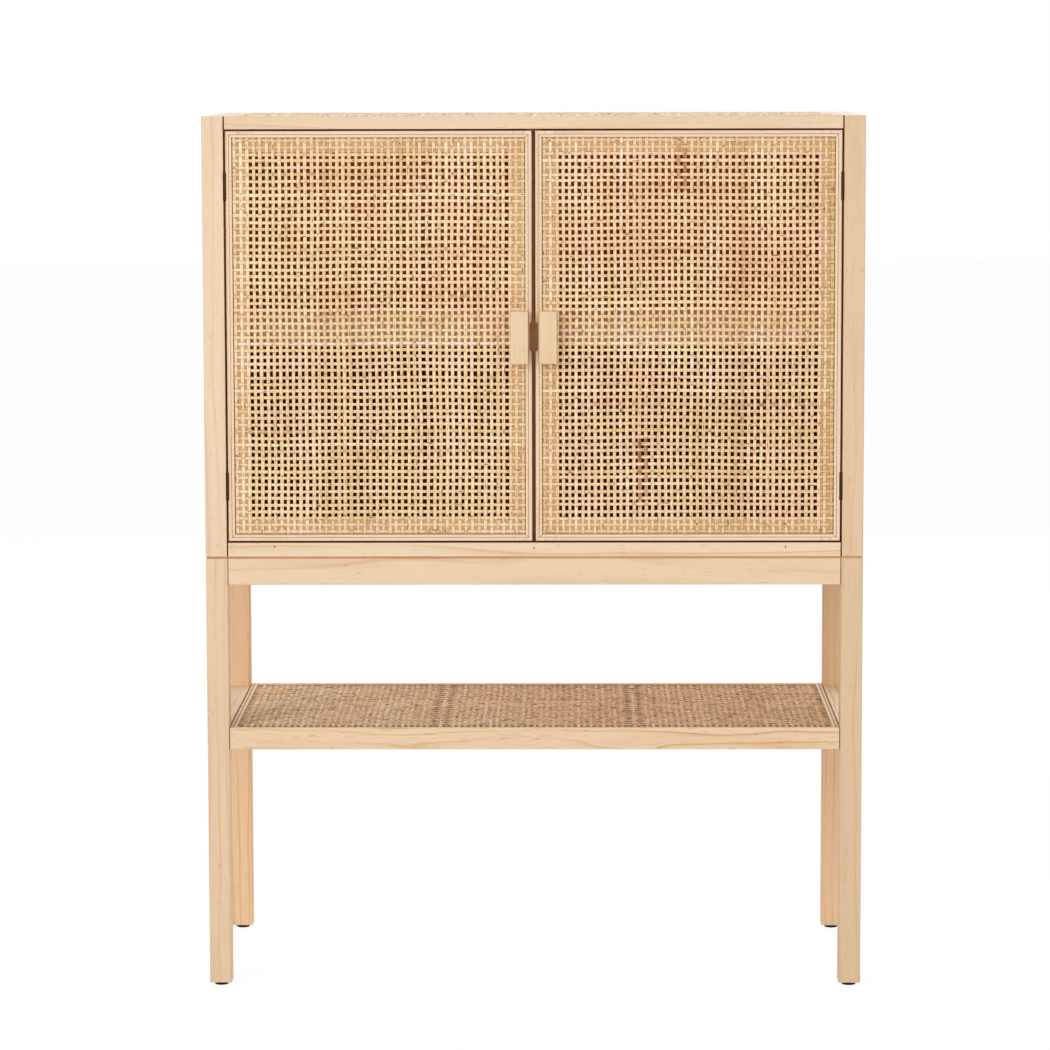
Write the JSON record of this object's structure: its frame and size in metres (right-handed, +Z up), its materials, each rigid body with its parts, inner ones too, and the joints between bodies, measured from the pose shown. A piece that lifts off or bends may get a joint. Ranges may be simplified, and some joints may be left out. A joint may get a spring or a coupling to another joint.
{
  "type": "record cabinet",
  "caption": "Pine record cabinet on an open stand: hinged doors of woven cane, cane-covered top, sides and low shelf, block handles and a finger notch between the doors.",
  "frame": {"origin": "on the floor, under the middle of the cabinet's width and of its depth with the handles", "axes": "+Z up; the doors face -Y; +X to the right of someone facing the doors"},
  "size_m": [0.9, 0.42, 1.2],
  "materials": {
    "pine": "clear matt lacquer on pale pine",
    "pine_bead": "clear matt lacquer on pale pine bead",
    "pine_board": "clear matt lacquer on pine boards",
    "back_plywood": "thin brown hardwood plywood, unvarnished",
    "cane": "natural rattan strips, bark side out, unvarnished",
    "beech": "bare beech",
    "hinge_brass": "antique brass",
    "strike_steel": "zinc plated",
    "zinc_steel": "zinc plated",
    "foot_plastic": "black moulded plastic",
    "catch_plastic": "brown moulded plastic"
  },
  "bodies": {
    "cabinet": {"apron_back": "pine", "apron_front": "pine", "apron_left": "pine", "apron_right": "pine", "back_panel": "back_plywood", "bottom_board": "pine", "centre_divider": "pine_board", "door_catches": "catch_plastic", "foot_glides": "foot_plastic", "frame_bolts": "zinc_steel", "hinge_frame_leaves": "hinge_brass", "hinge_pins": "hinge_brass", "inner_shelf_left": "pine_board", "inner_shelf_right": "pine_board", "leg_back_left": "pine", "leg_back_right": "pine", "leg_front_left": "pine", "leg_front_right": "pine", "loose_tenons": "beech", "low_shelf_bead": "pine_bead", "low_shelf_board": "pine", "low_shelf_rail_left": "pine", "low_shelf_rail_right": "pine", "low_shelf_webbing": "cane", "post_back_left": "pine", "post_back_right": "pine", "post_front_left": "pine", "post_front_right": "pine", "shelf_pins": "zinc_steel", "side_bead_left": "pine", "side_bead_right": "pine", "side_board_left": "pine_board", "side_board_right": "pine_board", "side_bottom_rail_left": "pine", "side_bottom_rail_right": "pine", "side_top_rail_left": "pine", "side_top_rail_right": "pine", "side_webbing_left": "cane", "side_webbing_right": "cane", "top_bead": "pine_bead", "top_board": "pine", "top_webbing": "cane"},
    "left_door": {"door_left_bead": "pine_bead", "door_left_bottom_rail": "pine", "door_left_handle": "pine", "door_left_hinge_leaves": "hinge_brass", "door_left_hinge_stile": "pine", "door_left_meeting_stile": "pine", "door_left_strike_plate": "strike_steel", "door_left_top_rail": "pine", "door_left_webbing": "cane"},
    "right_door": {"door_right_bead": "pine_bead", "door_right_bottom_rail": "pine", "door_right_handle": "pine", "door_right_hinge_leaves": "hinge_brass", "door_right_hinge_stile": "pine", "door_right_meeting_stile": "pine", "door_right_strike_plate": "strike_steel", "door_right_top_rail": "pine", "door_right_webbing": "cane"}
  },
  "joints": [
    {"name": "left_door_hinge", "type": "hinge", "parent": "cabinet", "child": "left_door", "pos_m": [-0.419, -0.1905, 0.9005], "axis": [0, 0, -1], "range_deg": [0, 170]},
    {"name": "right_door_hinge", "type": "hinge", "parent": "cabinet", "child": "right_door", "pos_m": [0.419, -0.1905, 0.9005], "axis": [0, 0, 1], "range_deg": [0, 170]}
  ]
}
